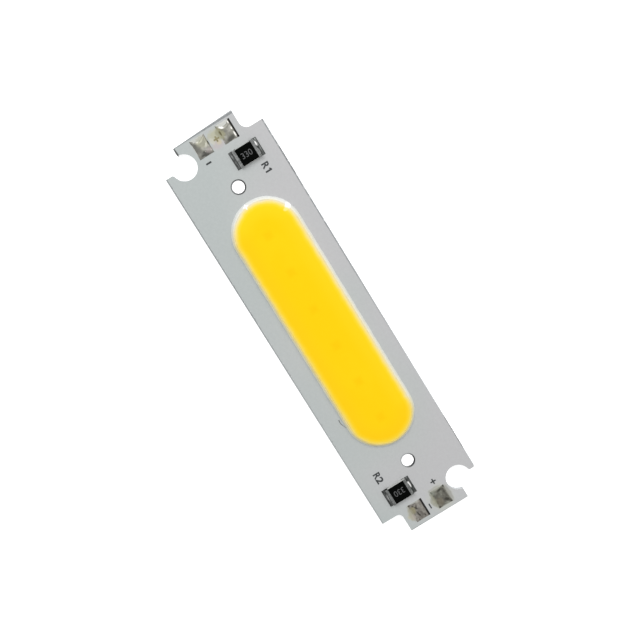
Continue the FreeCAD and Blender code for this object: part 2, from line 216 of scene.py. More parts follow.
def embossed(shader, height, depth):
    """Let a pattern's height, 0 to 1, stand up by a depth in millimetres under the light."""
    bump = {"Height": height, "Distance": depth * MM, "Strength": 1.0}
    feed(shader.inputs["Normal"], add(shader.id_data, "ShaderNodeBump", bump))


def coloured(shader, colour):
    feed(shader.inputs["Base Color"], colour)


def place_of(tree, middle=(0, 0)):
    """The distance along X and Y from a middle, in millimetres."""
    place = add(tree, "ShaderNodeTexCoord").outputs["Object"]
    shift = (-middle[0] * MM, -middle[1] * MM, 0)
    moved = add(tree, "ShaderNodeVectorMath", {0: place, 1: shift}, operation="ADD")
    scaled = add(tree, "ShaderNodeVectorMath", {0: moved, "Scale": 1 / MM}, operation="SCALE")
    parts = add(tree, "ShaderNodeSeparateXYZ", {"Vector": scaled}).outputs
    return Signal(parts["X"]), Signal(parts["Y"])


def distance(x, y):
    """How far a point lies from where its x and y are 0."""
    flat = add(x.tree, "ShaderNodeCombineXYZ", {"X": x, "Y": y})
    return Signal(add(x.tree, "ShaderNodeVectorMath", {0: flat}, operation="LENGTH").outputs["Value"])


def patch(tree, middle, half, rag=0.0):
    """1 inside an ellipse on the board, with a soft rim that rag roughens. Sizes are in millimetres."""
    x, y = place_of(tree, middle)
    return rise(distance(x / half[0], y / half[1]) + rag, *soft_rim)


def stained(tree, colour, stains):
    """Lay stains over a colour, each with its middle, half sizes, own colour and strength."""
    rag = cloud(tree, 0.4, 3.0) - 0.5
    for middle, half, stain_colour, strength in stains:
        colour = blended(patch(tree, middle, half, rag) * strength, colour, stain_colour)
    return colour


def dress(material, *names):
    """Give solids of the board this finish."""
    for name in names:
        slots = nodes[name].data.materials
        slots.clear()
        slots.append(material)


print("helpers ready")

# %% [markdown]
# The board is photographed on pure white, under soft light from the upper left and the upper right of the
# picture. Two broad lamps give that. The room is white to the camera and to reflections, and dimmer as a
# light, so that the lamps still model the shapes. The floor is white too: what reaches the camera from it is
# lifted, so that it meets the white room without an edge, and it still takes the board's shadow.

# %% Light, room and floor
room_light = 0.58
floor_lift = 0.6
floor_reach = 3.0
floor_z = -0.02 * MM
lamp_size = 220 * MM
lamp_distance = 420 * MM
lamps = {
    "upper_left_lamp": (Vector((-0.98, -0.20, 0.95)), 0.62),
    "upper_right_lamp": (Vector((-0.39, 0.92, 0.95)), 0.66),
}
for name, (direction, watts) in lamps.items():
    lamp_data = bpy.data.lights.new(name, "AREA")
    lamp_data.shape = "DISK"
    lamp_data.size = lamp_size
    lamp_data.energy = watts
    place = direction.normalized() * lamp_distance
    into_scene(name, lamp_data).matrix_world = looking(place, Vector((0, 0, 0)), Vector((0, 0, 1)))


def seen(tree):
    """1 for rays from the camera, from a gloss or through glass, and 0 for rays that gather light."""
    rays = add(tree, "ShaderNodeLightPath").outputs
    return Signal(rays["Is Camera Ray"]).at_least(rays["Is Glossy Ray"]).at_least(rays["Is Transmission Ray"])


world = bpy.data.worlds.new("white_room")
world.use_nodes = True
bpy.context.scene.world = world
room = world.node_tree
background = room.nodes["Background"]
background.inputs["Color"].default_value = (1, 1, 1, 1)
strength = add(room, "ShaderNodeMapRange", {"Value": seen(room), "To Min": room_light, "To Max": 1.0})
feed(background.inputs["Strength"], strength)

floor_data = bpy.data.meshes.new("floor")
corners = [(x * floor_reach, y * floor_reach, floor_z) for x, y in ((-1, -1), (1, -1), (1, 1), (-1, 1))]
floor_data.from_pydata(corners, [], [(0, 1, 2, 3)])
floor = into_scene("floor", floor_data)
paper, paper_tree, paper_shader = new_finish("white_paper", "#f4f4f4", 0.9)
feed(paper_shader.inputs["Emission Strength"], seen(paper_tree) * floor_lift)
paper_shader.inputs["Emission Color"].default_value = (1, 1, 1, 1)
floor_data.materials.append(paper)

bpy.context.scene.view_settings.view_transform = "Standard"
print(len(lamps), "lamps and a white floor")

# %% [markdown]
# The white surface of the board is a solder mask: an epoxy lacquer that is screen-printed and baked. It is an
# eggshell white that looks pale grey beside real white, with a faint orange peel and slow drifts towards blue
# and towards pink. Flux from soldering has boiled out beside the wire pads and left yellowish stains. Painted
# shade darkens a ragged line along the outer edges, and the rim of each screw hole on the side away from the
# light, and two dark marks lie at the lower corner of the tab at the R1 end. All of it depends only on where
# a point lies on the board, so the pattern is painted by the board's own coordinates.

# %% The lacquer
mask_low, mask_high = solid_box("white_solder_mask")
pad_boxes = [solid_box(f"wire_pad_solder_{number}") for number in (1, 2, 3, 4)]
pad_middle = [(low + high) / 2 for low, high in pad_boxes]
between_left = (pad_middle[0] + pad_middle[1]) / 2

# Each stain: its middle from what it lies beside, its half sizes, its colour and how strong it is
left_stains = (
    ((-0.3, 0.42), (0.9, 1.0), "#b3b195", 0.75),
    ((-0.2, 1.0), (0.8, 0.6), "#8c8a70", 0.6),
    ((-0.5, -1.6), (0.85, 0.75), "#9f9e8a", 0.55),
    ((0.85, 0.05), (0.55, 0.8), "#bcb0b1", 0.6),
    ((0.8, -1.3), (0.4, 0.5), "#a39a98", 0.5),
    ((0.1, -0.4), (0.5, 0.35), "#c8c6b8", 0.6),
    ((0.65, 0.35), (0.3, 0.4), "#c9bf9c", 0.55),
    ((-0.12, 0.25), (0.17, 0.12), "#463f28", 0.9),
    ((-0.25, 1.05), (0.35, 0.12), "#4f482e", 0.75),
    ((-0.05, -0.93), (0.32, 0.11), "#3f3d33", 0.85),
)
pad_4_stains = (
    ((-1.1, -0.9), (0.5, 0.4), "#8e9388", 0.5),
    ((0.5, -0.5), (0.65, 0.5), "#78705f", 0.45),
    ((0.07, -1.15), (1.1, 0.28), "#878672", 0.8),
    ((0.1, -1.45), (0.65, 0.25), "#99998a", 0.75),
    ((0.1, -1.27), (0.2, 0.1), "#b0ab90", 0.5),
    ((0.0, 1.2), (1.3, 0.3), "#8c8a82", 0.6),
    ((-1.45, -0.3), (0.3, 0.9), "#98978c", 0.5),
)
pad_3_stains = (
    ((-0.4, -0.75), (0.55, 0.42), "#928c68", 0.6),
    ((0.0, -1.15), (1.15, 0.3), "#9b9886", 0.8),
    ((0.15, -1.42), (0.7, 0.28), "#a6a38e", 0.75),
    ((0.23, -1.7), (0.35, 0.18), "#b8b49b", 0.65),
    ((0.53, -1.1), (0.45, 0.28), "#b4a9a4", 0.45),
)
stain_groups = ((between_left, left_stains), (pad_middle[3], pad_4_stains), (pad_middle[2], pad_3_stains))
flux_stains = []
for anchor, stains in stain_groups:
    flux_stains += [(anchor + Vector((*shift, 0)), *look) for shift, *look in stains]
halo = (pad_middle[3] + Vector((0.1, -0.1, 0)), (2.0, 1.8), "#bdbfb3", 0.5)
tab_low = -4.45
# Two dark marks at the lower corner of the tab at the R1 end
dark_tab_corner_marks = [
    ((-29.32, tab_low + 0.06), (0.22, 0.12), "#2c2c2b", 0.95),
    ((-29.85, tab_low + 0.03), (0.65, 0.12), "#444647", 0.95),
]
edge_line = 0.1
edge_rag = 0.12
hole_reach = 21.8
hole_y = 0.1
hole_rim_shade_fade = (1.08, 1.0)
wall_fade = (1.15, 1.05)
hole_side = (3.0, 2.0)


def from_hole(tree):
    """Millimetres from the middle of the nearest screw hole, seen from above."""
    x, y = place_of(tree, (0, hole_y))
    return distance(abs(x) - hole_reach, y)


def turned_away(tree):
    """0 to 1 for the part of a screw hole's rim that faces away from the light."""
    rims = []
    for hole_x, toward, lit_side in ((-hole_reach, (0.3, 0.95), -2.0), (hole_reach, (0.6, 0.8), -0.4)):
        x, y = place_of(tree, (hole_x, hole_y))
        away = rise(x * toward[0] + y * toward[1], lit_side, 0.8)
        rims.append(rise(abs(x), *hole_side) * away)
    return rims[0].at_least(rims[1])


def painted_edge_shade(tree):
    """Painted shade along the outer edges: most at the R1 end, least along the far side of the R2 end."""
    x, y = place_of(tree)
    least = 0.5 - rise(y, -5.0, 5.0) * 0.4
    return least + (1.0 - least) * rise(x, 12.0, -12.0)


def solder_mask_lacquer():
    finish, tree, shader = new_finish("baked_solder_mask", "#b6b9b8", 0.42, specular=0.35)
    x, y = place_of(tree)
    drift = ramp(cloud(tree, 16.0, 1.0) + y * 0.03, (0.3, "#b1b7b6"), (0.52, "#b5b9b8"), (0.72, "#b9b9ba"))
    fleck = rise(cloud(tree, 0.35, 3.0), 0.3, 0.75)
    colour = blended(fleck * 0.1, drift, "#d4d8d8")
    colour = stained(tree, colour, [halo, *flux_stains, *dark_tab_corner_marks])
    to_end = (mask_high.x - x).at_most(x - mask_low.x)
    to_edge = (mask_high.y - abs(y)).at_most(to_end)
    # Painted shade in a ragged line along the outer edges
    edge_shade_band = rise(to_edge + cloud(tree, 0.3) * edge_rag, edge_line + edge_rag, edge_line)
    colour = blended(edge_shade_band * (painted_edge_shade(tree) * 0.8), colour, "#6f7476")
    # Painted shade on the rim of each screw hole, on the side that faces away from the light
    hole_rim_shade = rise(from_hole(tree), *hole_rim_shade_fade) * turned_away(tree)
    coloured(shader, blended(hole_rim_shade * 0.8, colour, "#3f4243"))
    embossed(shader, cloud(tree, 0.3), 0.004)
    return finish


dress(solder_mask_lacquer(), "white_solder_mask")
print(len(flux_stains), "flux stains on the lacquer")

# %% [markdown]
# Under the lacquer come the insulating film, a dark epoxy filled with ceramic powder that shows as a thin
# ring in the screw holes, and the aluminium plate. The plate was rolled, which leaves fine lines along it,
# and its walls were punched and scored. The steep wall of a screw hole is painted white, a painted reflection
# of the white floor, with a band of painted shade near its top on the side away from the light, and the
# scored end slopes carry painted shade by their steepness. The hidden copper, dies, wires and resistor films
# get their own plain finishes too, because every piece is kept.

# %% Board and hidden layers


def filled_epoxy():
    finish, tree, shader = new_finish("ceramic_filled_epoxy", "#4b4f51", 0.6)
    powder = cloud(tree, 0.12, 3.0)
    pale = ramp(powder, (0.35, "#717475"), (0.65, "#8f9293"))
    # Darker where the edges carry painted shade, and painted shade on each hole's ring on the side away from
    # the light
    edge = blended(painted_edge_shade(tree), "#a9acad", pale)
    coloured(shader, blended(turned_away(tree), edge, "#1d1f20"))
    embossed(shader, powder, 0.006)
    return finish


plate_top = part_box("aluminium_base")[1].z / MM
hole_shade_band = (plate_top - 0.3, plate_top - 0.12)
end_wall = (30.3, 30.4)
steepness = (0.95, 0.7)


def rolled_aluminium():
    finish, tree, shader = new_finish("rolled_aluminium", "#b4b6b8", 0.38, 1.0)
    lines = cloud(tree, 0.25, 3.0, stretch=(0.04, 1.0, 1.0))
    tone = ramp(lines, (0.3, "#9fa2a4"), (0.7, "#c3c5c6"))
    plate = blended(rise(cloud(tree, 3.0), 0.45, 0.7) * 0.35, tone, "#85888a")
    facing = add(tree, "ShaderNodeNewGeometry").outputs["Normal"]
    upward = abs(Signal(add(tree, "ShaderNodeSeparateXYZ", {"Vector": facing}).outputs["Z"]))
    steep = rise(upward, *steepness)
    # Painted reflection: the steep walls of a screw hole painted white, as the white floor would show in them
    plate = blended(steep * rise(from_hole(tree), *wall_fade), plate, "#fbfbfb")
    place = add(tree, "ShaderNodeTexCoord").outputs["Object"]
    height = Signal(add(tree, "ShaderNodeSeparateXYZ", {"Vector": place}).outputs["Z"]) * (1 / MM)
    # Painted shade near the top of a hole's wall on the side away from the light
    hole_wall_shade = rise(height, *hole_shade_band) * turned_away(tree)
    # Painted shade on the scored end slopes, by their steepness
    scored = rise(abs(place_of(tree)[0]), *end_wall) * (rise(upward, 0.2, 0.45) * 0.55)
    coloured(shader, blended(steep * hole_wall_shade.at_least(scored), plate, "#505254"))
    rough = add(tree, "ShaderNodeMapRange", {"Value": lines, "To Min": 0.28, "To Max": 0.5})
    feed(shader.inputs["Roughness"], rough)
    embossed(shader, lines, 0.005)
    return finish


def grained(name, dark, pale, roughness, metallic, size, depth):
    """A plain finish: one grain between two tones, that also stands up a little."""
    finish, tree, shader = new_finish(name, pale, roughness, metallic)
    grain = cloud(tree, size)
    coloured(shader, ramp(grain, (0.35, dark), (0.65, pale)))
    embossed(shader, grain, depth)
    return finish


film_nodes = ("r1_resistive_film", "r2_resistive_film")
copper_nodes = ("positive_copper", "negative_copper", "r1_link", "r2_link", "string_copper")
plain_finishes = (
    (copper_nodes, "etched_copper_foil", "#a9694b", "#c98a68", 0.35, 1.0, 0.2, 0.002),
    ("led_die", "sapphire_die", "#4f6f8e", "#7f9db8", 0.15, 0.0, 0.1, 0.001),
    ("die_attach", "silver_die_adhesive", "#8d8d8c", "#adadab", 0.5, 0.4, 0.05, 0.002),
    ("bond_wire", "drawn_gold_wire", "#c79a3e", "#e0b65a", 0.25, 1.0, 0.03, 0.001),
    (film_nodes, "ruthenium_resistor_film", "#26272a", "#3a3b3e", 0.6, 0.0, 0.05, 0.002),
)
dress(filled_epoxy(), "dielectric_layer")
dress(rolled_aluminium(), "aluminium_base")
for starts, *look in plain_finishes:
    dress(grained(*look), *[name for name in nodes if name.startswith(starts)])
print(sum(len(n.data.materials) for n in nodes.values()), "solids have a finish")

# %% [markdown]
# The dam is a bead of white silicone, laid by a needle round the field and closed on itself. It follows a
# path, so Geometry Nodes sweep it: a circle is pulled apart into a stadium, resampled evenly, and swept by
# half a circle that flattens towards its foot, where the silicone wets the board. Smooth noise then lets the
# bead wander by up to a tenth of a millimetre, as a hand-guided needle does. A swept curve stays editable by
# its inputs.

# %% The dam's node tree


def group_with(name, sizes):
    """A Geometry Nodes group, its number inputs, and a function that paints a geometry and gives it out."""
    group = bpy.data.node_groups.new(name, "GeometryNodeTree")
    group.interface.new_socket("Geometry", in_out="INPUT", socket_type="NodeSocketGeometry")
    group.interface.new_socket("Geometry", in_out="OUTPUT", socket_type="NodeSocketGeometry")
    for size in sizes:
        group.interface.new_socket(size, in_out="INPUT", socket_type="NodeSocketFloat")
    group.interface.new_socket("Material", in_out="INPUT", socket_type="NodeSocketMaterial")
    given = add(group, "NodeGroupInput").outputs
    end = add(group, "NodeGroupOutput")

    def give_out(geometry):
        real = add(group, "GeometryNodeRealizeInstances", {"Geometry": geometry})
        painted = add(group, "GeometryNodeSetMaterial", {"Geometry": real, "Material": given["Material"]})
        feed(end.inputs["Geometry"], painted)
        return group

    return group, {size: Signal(given[size]) for size in sizes}, give_out


def baked(group, name, values):
    """Run a node group on an empty mesh with its inputs set by name, and keep the result."""
    carrier = into_scene(name, bpy.data.meshes.new(name))
    modifier = carrier.modifiers.new(name, "NODES")
    modifier.node_group = group
    for socket in group.interface.items_tree:
        if socket.item_type == "SOCKET" and socket.in_out == "INPUT" and socket.name in values:
            modifier[socket.identifier] = values[socket.name]
    evaluated = carrier.evaluated_get(bpy.context.evaluated_depsgraph_get())
    mesh = bpy.data.meshes.new_from_object(evaluated)
    carrier.modifiers.remove(modifier)
    carrier.data = mesh
    mesh.name = name
    return carrier


def extent(mesh):
    """A mesh's lowest and highest corner."""
    return [Vector([pick(v.co[i] for v in mesh.vertices) for i in range(3)]) for pick in (min, max)]


def bead_group(sizes):
    """A bead swept round a stadium. Its sizes are lengths, apart from the power that flattens its foot."""
    group, size, give_out = group_with("silicone_bead", sizes)
    circle = add(group, "GeometryNodeCurvePrimitiveCircle", {"Resolution": 96, "Radius": size["End Radius"]})
    place = add(group, "ShaderNodeSeparateXYZ", {"Vector": add(group, "GeometryNodeInputPosition")}).outputs
    push = Signal(place["X"]).sign() * size["Half Run"]
    offset = add(group, "ShaderNodeCombineXYZ", {"X": push})
    stadium = add(group, "GeometryNodeSetPosition", {"Geometry": circle, "Offset": offset})
    spacing = {"Curve": stadium, "Length": size["Spacing"]}
    even = add(group, "GeometryNodeResampleCurve", spacing, mode="LENGTH")
    level = add(group, "GeometryNodeSetCurveNormal", {"Curve": even}, mode="Z_UP")
    arc = {"Resolution": 17, "Radius": 1.0, "Sweep Angle": math.pi}
    half_circle = add(group, "GeometryNodeCurveArc", arc)
    hump = Signal(place["Y"]).at_least(0.0) ** size["Foot Softness"]
    lowered = add(group, "ShaderNodeCombineXYZ", {"X": place["X"], "Y": hump})
    soft_foot = add(group, "GeometryNodeSetPosition", {"Geometry": half_circle, "Position": lowered})
    closed = add(group, "GeometryNodeSetSplineCyclic", {"Geometry": soft_foot, "Cyclic": True})
    stretch = {"X": size["Bead Width"] * 0.5, "Y": size["Bead Height"] * -1.0, "Z": 1.0}
    scale = add(group, "ShaderNodeCombineXYZ", stretch)
    profile = add(group, "GeometryNodeTransform", {"Geometry": closed, "Scale": scale})
    swept = add(group, "GeometryNodeCurveToMesh", {"Curve": level, "Profile Curve": profile})
    outward = add(group, "GeometryNodeFlipFaces", {"Mesh": swept})
    ripple = {"Scale": 1.0 / size["Wander Size"], "Detail": 2.0}
    drift = add(group, "ShaderNodeTexNoise", ripple).outputs["Color"]
    centred = add(group, "ShaderNodeVectorMath", {0: drift, 1: (0.5, 0.5, 0.5)}, operation="SUBTRACT")
    amount = add(group, "ShaderNodeVectorMath", {0: centred, "Scale": size["Wander"]}, operation="SCALE")
    parts = add(group, "ShaderNodeSeparateXYZ", {"Vector": amount}).outputs
    flat = add(group, "ShaderNodeCombineXYZ", {"X": parts["X"], "Y": parts["Y"]})
    wandered = add(group, "GeometryNodeSetPosition", {"Geometry": outward, "Offset": flat})
    return give_out(add(group, "GeometryNodeSetShadeSmooth", {"Geometry": wandered}))


dam_low, dam_high = solid_box("silicone_dam")
dam_middle = (dam_low + dam_high) / 2
dam_reach = (dam_high.y - dam_low.y) / 2
straight = (dam_high.x - dam_low.x) / 2 - dam_reach
# The yellow glow in the silicone by millimetres inwards from the dam's foot, in two copies: painted light on
# the lit side and painted shade on the far side
glow_depths = ((0.0, 0.27, 0.52, 0.77, 1.02, 1.35), (0.0, 0.24, 0.48, 0.72, 0.96, 1.3))
glow_colours = (
    ("#dfe1df", "#e4e3da", "#f0e3b6", "#f8e07c", "#fcda3a", "#fed51a"),
    ("#ebead5", "#e6daa8", "#f2d976", "#f7d546", "#fcd226", "#ffce14"),
)
glow_reach = 1.4
glow_wobble = 0.35
to_far_side = (0.966, -0.26, 0.0)
side_turn = (-0.6, 0.3)


def field_place(tree):
    """Millimetres inwards from the dam's outer foot, and 0 on the field's lit side to 1 on the far side."""
    x, y = place_of(tree, dam_middle)
    beyond = (abs(x) - straight).at_least(0.0) * x.sign()
    flat = add(tree, "ShaderNodeCombineXYZ", {"X": beyond, "Y": y})
    outward = add(tree, "ShaderNodeVectorMath", {0: flat}, operation="NORMALIZE")
    facing = add(tree, "ShaderNodeVectorMath", {0: outward, 1: to_far_side}, operation="DOT_PRODUCT")
    return dam_reach - distance(beyond, y), rise(Signal(facing.outputs["Value"]), *side_turn)


def glowing(tree, depth, shade):
    """The colour of silicone or gel at a depth inside the foot, as the phosphor's yellow bleeds outwards."""
    share = (depth + (cloud(tree, 1.0, 3.0) - 0.5) * glow_wobble) / glow_reach
    # One ramp with painted light for the lit side and one with painted shade for the far side
    sides = []
    for depths, colours in zip(glow_depths, glow_colours):
        sides.append(ramp(share, *[(place / glow_reach, colour) for place, colour in zip(depths, colours)]))
    return blended(shade, *sides)


# Two painted highlights at the rim of the field, small white stars, by the half sizes of their rays
glints = (((-19.15, -0.46), 0.42, 0.13), ((-16.46, 4.4), 0.46, 0.3))
glint_tail = ((-16.15, 3.9), (0.24, 0.36))


def glinting(tree, colour):
    """Lay the glints, painted highlights, and the faint painted tail of the second one over a colour."""
    for place, long, short in glints:
        for half in ((long, short), (short, long)):
            colour = blended(patch(tree, place, half), colour, "#ffffff")
    return blended(patch(tree, *glint_tail) * 0.6, colour, "#fff3a0")


def white_silicone():
    finish, tree, shader = new_finish("white_dam_silicone", "#f3f2ef", 0.32, specular=0.2)
    coloured(shader, glinting(tree, glowing(tree, *field_place(tree))))
    embossed(shader, cloud(tree, 0.5), 0.01)
    return finish


bead_width = 0.85
end_radius = (dam_high.y - dam_low.y - bead_width) / 2
bead_lengths = {
    "Half Run": (dam_high.x - dam_low.x - bead_width) / 2 - end_radius,
    "End Radius": end_radius,
    "Bead Width": bead_width,
    "Bead Height": dam_high.z - dam_low.z,
    "Wander": 0.15,
    "Wander Size": 1.4,
    "Spacing": 0.2,
}
dam_sizes = {name: length * MM for name, length in bead_lengths.items()}
dam_sizes["Foot Softness"] = 2.6
dam = baked(bead_group(list(dam_sizes)), "dam_bead", {**dam_sizes, "Material": white_silicone()})
dam.data.transform(Matrix.Translation(Vector((dam_middle.x, dam_middle.y, dam_low.z)) * MM))
for corner in extent(dam.data):
    print("dam", [round(c / MM, 3) for c in corner], len(dam.data.polygons), "faces")
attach(dam, "root")
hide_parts("silicone_dam")

# %% [markdown]
# The gel is silicone mixed with yellow phosphor, poured inside the dam. It levels itself, so its form is a
# rule: a low dome that is highest along the middle line and meets the crest of the dam all round. Rings of
# points, each the rim drawn in by a further step, follow that rule directly. Its yellow fades towards the
# rim, where the gel is thin, and carries on fading over the dam. Over each die it is a shade darker.

# %% The gel
gel_low, gel_high = solid_box("phosphor_gel")
gel_middle = (gel_low + gel_high) / 2
gel_radius = (gel_high.y - gel_low.y) / 2
gel_run = (gel_high.x - gel_low.x) / 2 - gel_radius
gel_crown = 0.16
settling = (1.2, 3.6)
gel_rim_z = gel_high.z - gel_crown
gel_rings = 36
end_points = 72
side_points = 90


def stadium_ring(radius, height):
    """Points round the gel's stadium at a height, starting on the +Y side and going to the left."""
    points = []
    for side in (1, -1):
        for i in range(side_points):
            points.append((side * (gel_run - 2 * gel_run * i / side_points), side * radius))
        for i in range(end_points):
            turn = side * math.pi / 2 + math.pi * i / end_points
            points.append((-side * gel_run + radius * math.cos(turn), radius * math.sin(turn)))
    return [(gel_middle.x + x, gel_middle.y + y, height) for x, y in points]


def as_piece(shape, name, finish=None):
    """Turn a bmesh into a piece of the scene, with its faces outward."""
    bmesh.ops.recalc_face_normals(shape, faces=shape.faces)
    if shape.calc_volume(signed=True) < 0:
        bmesh.ops.reverse_faces(shape, faces=shape.faces)
    mesh = bpy.data.meshes.new(name)
    shape.to_mesh(mesh)
    shape.free()
    if finish:
        mesh.materials.append(finish)
    return into_scene(name, mesh)


def gel_rings_outwards():
    """Rings from the gel's middle line out to its rim, and on down inside the dam."""
    for k in range(gel_rings + 1):
        share = math.sin(math.pi / 2 * k / gel_rings)
        yield stadium_ring(gel_radius * share, gel_rim_z + gel_crown * (1 - share**2))
    for drop in (0.25, 0.5, 0.75, 1.0):
        inward = math.sin(math.pi / 2 * drop)
        height = board_top + (dam_high.z - board_top) * math.sqrt(max(0.0, 1 - inward**2))
        yield stadium_ring(gel_radius - bead_width / 2 * inward, height)


def gel_shell(finish):
    """The rings joined into a closed shell."""
    shell = bmesh.new()
    rows = [[shell.verts.new(Vector(point) * MM) for point in ring] for ring in gel_rings_outwards()]
    for upper, lower in zip(rows, rows[1:]):
        for i in range(len(upper)):
            j = (i + 1) % len(upper)
            shell.faces.new((upper[i], upper[j], lower[j], lower[i]))
    shell.faces.new(rows[-1])
    bmesh.ops.remove_doubles(shell, verts=shell.verts, dist=0.002 * MM)
    for face in shell.faces:
        face.smooth = True
    return as_piece(shell, "phosphor_field", finish)


def phosphor_silicone():
    finish, tree, shader = new_finish("phosphor_silicone", "#ffd316", 0.35, specular=0.06)
    depth, shade = field_place(tree)
    settled = rise(depth, *settling)
    colour = blended(settled, glowing(tree, depth, shade), "#ffd00d")
    drift = rise(cloud(tree, 5.0), 0.45, 0.7) * 0.3
    colour = blended(drift * settled, colour, "#ffd616")
    pitch = (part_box("led_die_6")[0].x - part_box("led_die_1")[0].x) / 5 / MM
    first = sum(solid_box("led_die_1"), Vector()) / 2
    x, y = place_of(tree, (first.x - pitch / 2, first.y))
    from_die = abs(x % pitch - pitch / 2).at_least(abs(y))
    shadow = rise(from_die, 0.9, 0.15) * 0.5
    coloured(shader, glinting(tree, blended(shadow, colour, "#f8c606")))
    embossed(shader, cloud(tree, 1.2), 0.01)
    return finish


gel = gel_shell(phosphor_silicone())
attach(gel, "root")
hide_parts("phosphor_gel")
print("gel", len(gel.data.polygons), "faces, up to", round(gel_high.z, 3), "mm")

# %% [markdown]
# The wire pads were tinned by hand. Molten solder pulls itself towards the corners of a pad and freezes there
# in creases, so each lump is a height over the pad's rectangle: a low cushion, four ridges drawn out to the
# corners, hollow sides, and smaller folds from noise. The two pads at the R1 end carry more solder and are
# crumpled, and the two at the R2 end are flatter and duller. One function makes all four, with other amounts
# and seeds.

# %% A height over a rectangle, as a closed lump
pad_grid = (84, 66)
hollow_curve = 1.3
edge_slope = 5
film_slope = 6
cushion_share = 0.55
ridge_share = 0.35
ridge_sharpness = 16


def field_lump(name, low, high, height_of, columns, rows, tone_of, film_of=None):
    """A closed lump on the copper over a rectangle in millimetres. Its functions take u and v from -1 to 1.

    height_of gives its height. tone_of gives a number from 0, dark and hollow, to 1, bright and proud, for
    the finish to use. film_of says where only a thin film of solder was left.
    """
    lump = bmesh.new()
    tone = lump.verts.layers.float.new("solder_tone")
    film = lump.verts.layers.float.new("solder_film")
    top = {}
    bottom = {}
    for j in range(rows + 1):
        for i in range(columns + 1):
            u = 2 * i / columns - 1
            v = 2 * j / rows - 1
            x = low.x + (high.x - low.x) * (u + 1) / 2
            y = low.y + (high.y - low.y) * (v + 1) / 2
            vertex = lump.verts.new(Vector((x, y, copper_top + height_of(u, v))) * MM)
            vertex[tone] = tone_of(u, v)
            vertex[film] = film_of(u, v) if film_of else 0.0
            top[i, j] = vertex
            if i in (0, columns) or j in (0, rows):
                bottom[i, j] = lump.verts.new(Vector((x, y, copper_top)) * MM)
    for j in range(rows):
        for i in range(columns):
            square = top[i, j], top[i + 1, j], top[i + 1, j + 1], top[i, j + 1]
            lump.faces.new(square).smooth = True
    border = [(i, 0) for i in range(columns)] + [(columns, j) for j in range(rows)]
    border += [(i, rows) for i in range(columns, 0, -1)] + [(0, j) for j in range(rows, 0, -1)]
    for here, ahead in zip(border, border[1:] + border[:1]):
        lump.faces.new((bottom[here], bottom[ahead], top[ahead], top[here]))
    lump.faces.new([bottom[here] for here in border[::-1]])
    return as_piece(lump, name)


def within(value):
    """A number held between 0 and 1."""
    return max(0.0, min(1.0, value))


def crease(u, v, seed, size):
    """Sharp-crested noise from 0 to 1, as of folded foil."""
    return 1 - within(abs(noise.noise(Vector((u * size, v * size, seed)))) * 2.2)


def pad_lump(name, number, pad):
    """A tinned wire pad, within its solid's box."""
    low, high = pad_boxes[number]
    film = board_top - copper_top
    room = high.z - copper_top - film

    def inside(u, v):
        """How far a point lies inside the solder's drawn-in outline, in shares of the pad's half size."""
        left, right, lower, upper = pad["hollows"]
        across = 1 - (left if u < 0 else right) * (1 - v * v) ** hollow_curve - abs(u)
        along = 1 - (lower if v < 0 else upper) * (1 - u * u) ** hollow_curve - abs(v)
        return across, along

    def shape(u, v):
        across, along = inside(u, v)
        edge = within(across * edge_slope) * within(along * edge_slope)
        cushion = (1 - u * u) * (1 - v * v)
        ridges = math.exp(-((abs(u) - abs(v)) ** 2) * ridge_sharpness) * abs(u * v) ** 0.5
        fold = crease(u, v, pad["seed"], 0.9) * 0.7 + crease(u, v, pad["seed"] + 5, 2.2) * 0.3
        return edge, cushion, ridges, fold

    def height_of(u, v):
        edge, cushion, ridges, fold = shape(u, v)
        body = pad["fullness"] * (cushion_share * cushion + ridge_share * ridges)
        body += pad["folds"] * fold * (0.35 + 0.65 * cushion)
        return film * 0.9 + room * 0.97 * min(1.0, body) * edge

    def tone_of(u, v):
        edge, cushion, ridges, fold = shape(u, v)
        # Painted light: brighter on the folds, painted shade at the rim, and each facet a painted highlight
        # or painted shade
        tone = 0.35 + 0.3 * fold - pad["rim_shade"] * (1 - edge)
        for middle_u, middle_v, half_along, half_across, turn, facet in pad["facets"]:
            du = u - middle_u
            dv = v - middle_v
            cosine = math.cos(math.radians(turn))
            sine = math.sin(math.radians(turn))
            along = (du * cosine + dv * sine) / half_along
            across = (dv * cosine - du * sine) / half_across
            reach = along**2 + across**2
            tone += (facet - tone) * math.exp(-(reach**1.5))
        return within(tone)

    def film_of(u, v):
        return within(0.5 - min(inside(u, v)) * film_slope)

    return field_lump(name, low, high, height_of, *pad_grid, tone_of, film_of)


print("solder helpers ready")

# %% [markdown]
# Solder is a tin alloy that froze in air, with a grey oxide skin in its hollows. Its finish takes the tone
# that each lump keeps at its points, and that tone also carries painted highlights on its proud folds and
# painted shade on flats that face away from the light. Along the upper edge of two pads a black ragged line
# of painted shade is laid. The R2 end was soldered cooler: greyer, browner and rougher.

# %% Solder finishes and the four wire pads


